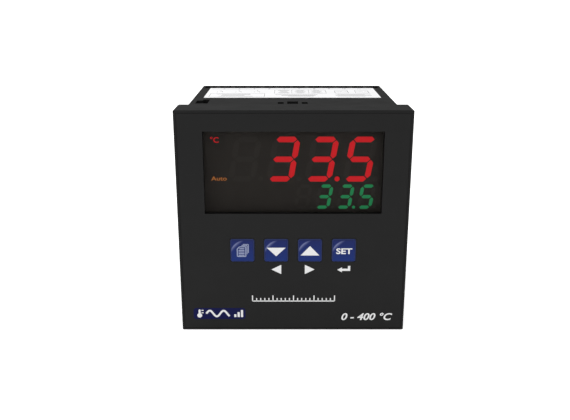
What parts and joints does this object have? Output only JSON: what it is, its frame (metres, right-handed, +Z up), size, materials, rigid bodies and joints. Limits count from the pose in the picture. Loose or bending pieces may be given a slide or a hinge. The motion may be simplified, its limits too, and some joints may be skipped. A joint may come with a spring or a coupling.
{
  "type": "pid temperature controller",
  "caption": "Square panel-mount temperature controller with a black bezel, a smoked window over two rows of lit digits, a row of blue keys, and a deep case with screw terminals.",
  "frame": {"origin": "centre of the panel seat, the rear face of the bezel, on the axis of the case", "axes": "+X to the right as the user sees it, +Y from the front back into the panel, +Z up"},
  "size_m": [0.096, 0.0927, 0.096],
  "materials": {
    "bezel_plastic": "satin",
    "case_plastic": "satin",
    "overlay_film": "satin",
    "smoked_window": "gloss",
    "reflector_plastic": "satin",
    "dark_segment": "satin",
    "red_segment": "satin",
    "green_segment": "satin",
    "amber_segment": "satin",
    "key_plastic": "satin",
    "plunger_plastic": "satin",
    "switch_plastic": "satin",
    "circuit_board": "satin",
    "terminal_plastic": "satin",
    "plated_steel": "satin",
    "label_film": "satin",
    "ferrite": "satin",
    "winding_tape": "satin",
    "capacitor_sleeve": "satin",
    "fuse_plastic": "satin",
    "relay_plastic": "satin",
    "chip_plastic": "satin"
  },
  "bodies": {
    "controller": {"board_headers": "switch_plastic", "bulk_capacitor": "capacitor_sleeve", "case": "case_plastic", "case_label": "label_film", "display_board": "circuit_board", "display_driver": "chip_plastic", "display_reflector": "reflector_plastic", "display_window": "smoked_window", "filter_capacitors": "capacitor_sleeve", "front_bezel": "bezel_plastic", "front_overlay": "overlay_film", "input_converter": "chip_plastic", "key_switches": "switch_plastic", "lower_board": "circuit_board", "lower_terminal_block": "terminal_plastic", "lower_terminal_clamps": "plated_steel", "lower_terminal_screws": "plated_steel", "mains_fuse": "fuse_plastic", "output_relays": "relay_plastic", "process_segments_lit": "red_segment", "process_segments_unlit": "dark_segment", "processor": "chip_plastic", "setpoint_segments_lit": "green_segment", "setpoint_segments_unlit": "dark_segment", "status_light": "amber_segment", "transformer_core": "ferrite", "transformer_winding": "winding_tape", "unit_light": "red_segment", "upper_board": "circuit_board", "upper_terminal_block": "terminal_plastic", "upper_terminal_clamps": "plated_steel", "upper_terminal_screws": "plated_steel"},
    "menu_key_body": {"key_menu": "key_plastic", "plunger_menu": "plunger_plastic"},
    "down_key_body": {"key_down": "key_plastic", "plunger_down": "plunger_plastic"},
    "up_key_body": {"key_up": "key_plastic", "plunger_up": "plunger_plastic"},
    "set_key_body": {"key_set": "key_plastic", "plunger_set": "plunger_plastic"}
  },
  "joints": [
    {"name": "menu_key_press", "type": "slide", "parent": "controller", "child": "menu_key_body", "axis": [0, 1, 0], "range_m": [0, 0.0003], "stiffness_N_per_m": 4000},
    {"name": "down_key_press", "type": "slide", "parent": "controller", "child": "down_key_body", "axis": [0, 1, 0], "range_m": [0, 0.0003], "stiffness_N_per_m": 4000},
    {"name": "up_key_press", "type": "slide", "parent": "controller", "child": "up_key_body", "axis": [0, 1, 0], "range_m": [0, 0.0003], "stiffness_N_per_m": 4000},
    {"name": "set_key_press", "type": "slide", "parent": "controller", "child": "set_key_body", "axis": [0, 1, 0], "range_m": [0, 0.0003], "stiffness_N_per_m": 4000}
  ]
}
